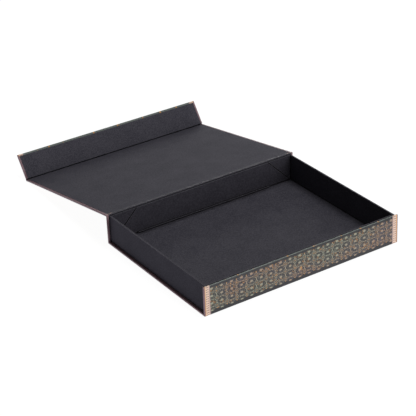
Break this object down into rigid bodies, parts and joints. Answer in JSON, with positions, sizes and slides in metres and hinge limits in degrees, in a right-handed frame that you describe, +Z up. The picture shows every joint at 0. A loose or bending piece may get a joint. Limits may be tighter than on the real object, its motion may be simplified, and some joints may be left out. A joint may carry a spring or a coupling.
{
  "type": "manuscript box",
  "caption": "Shallow fold-flat box for loose sheets, with a book-style hinged lid, a closing flap over the front and a lined tray with gusseted end walls.",
  "frame": {"origin": "centre of the base panel's underside", "axes": "+X along the front, +Y from the front panel to the spine, +Z up"},
  "size_m": [0.32, 0.5095, 0.0452],
  "materials": {
    "greyboard": "greyboard, matte",
    "cover_paper": "printed, satin",
    "lining_paper": "matte",
    "tray_paper": "matte",
    "adhesive_tape": "tacky",
    "steel_plate": "plain",
    "magnet": "nickel plated"
  },
  "bodies": {
    "root": {"base_board": "greyboard", "front_board": "greyboard", "spine_board": "greyboard", "left_wall_board": "greyboard", "right_wall_board": "greyboard", "back_wall_board": "greyboard", "back_left_gusset_board": "greyboard", "back_right_gusset_board": "greyboard", "front_wall_board": "greyboard", "front_left_gusset_board": "greyboard", "front_right_gusset_board": "greyboard", "base_cover_paper": "cover_paper", "front_cover_paper": "cover_paper", "spine_cover_paper": "cover_paper", "spine_lining": "lining_paper", "floor_lining": "lining_paper", "lid_hinge_paper": "lining_paper", "left_wall_paper": "tray_paper", "right_wall_paper": "tray_paper", "back_wall_paper": "tray_paper", "front_wall_paper": "tray_paper", "back_foot_strip": "tray_paper", "front_foot_strip": "tray_paper", "back_wall_tape": "adhesive_tape", "front_wall_tape": "adhesive_tape", "front_catch_plates": "steel_plate"},
    "lid": {"lid_board": "greyboard", "lid_cover_paper": "cover_paper", "lid_lining": "lining_paper", "flap_hinge_paper": "lining_paper"},
    "flap": {"flap_board": "greyboard", "flap_cover_paper": "cover_paper", "flap_lining": "lining_paper", "flap_magnets": "magnet"}
  },
  "joints": [
    {"name": "lid_hinge", "type": "hinge", "parent": "root", "child": "lid", "pos_m": [0, 0.12137, 0.0452], "axis": [1, 0, 0], "range_deg": [0, 190.3], "deforming": ["lid_hinge_paper"]},
    {"name": "flap_hinge", "type": "hinge", "parent": "lid", "child": "flap", "pos_m": [0, 0.36329, 0], "axis": [1, 0, 0], "range_deg": [-53.73, 25.97], "deforming": ["flap_hinge_paper"]}
  ]
}
